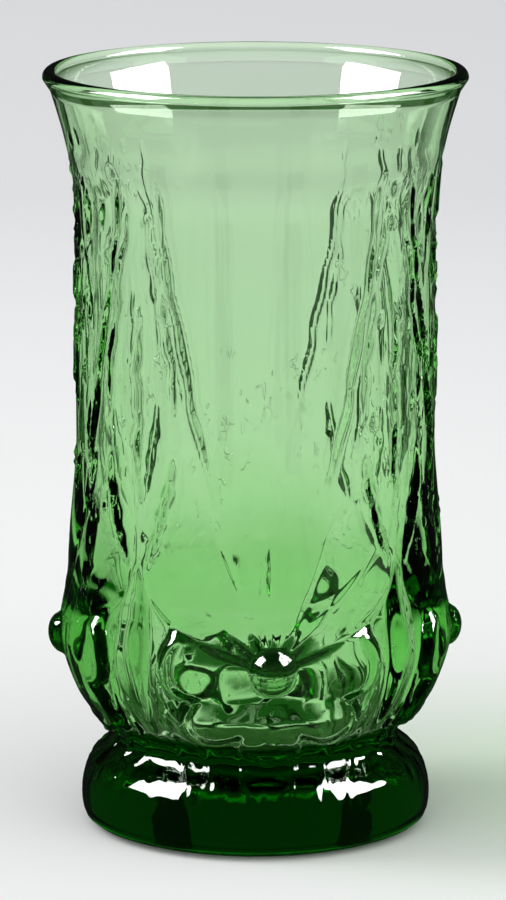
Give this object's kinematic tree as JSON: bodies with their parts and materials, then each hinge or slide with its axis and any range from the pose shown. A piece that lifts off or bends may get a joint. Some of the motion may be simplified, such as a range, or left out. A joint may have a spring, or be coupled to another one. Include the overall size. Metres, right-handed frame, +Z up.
{
  "type": "drinking tumbler",
  "caption": "Footed drinking tumbler of green pressed glass, with a flared rounded lip, raised flowers round a bulging belly, rising stems and a thick spreading foot.",
  "frame": {"origin": "middle of the foot's underside, at the level it stands on", "axes": "+Z up the tumbler's axis towards the lip; the middle of one flower faces -Y"},
  "size_m": [0.0828, 0.0828, 0.15],
  "materials": {
    "green_glass": "fire-polished pressed glass, green through its whole thickness"
  },
  "bodies": {
    "root": {"tumbler_glass": "green_glass"}
  },
  "joints": []
}
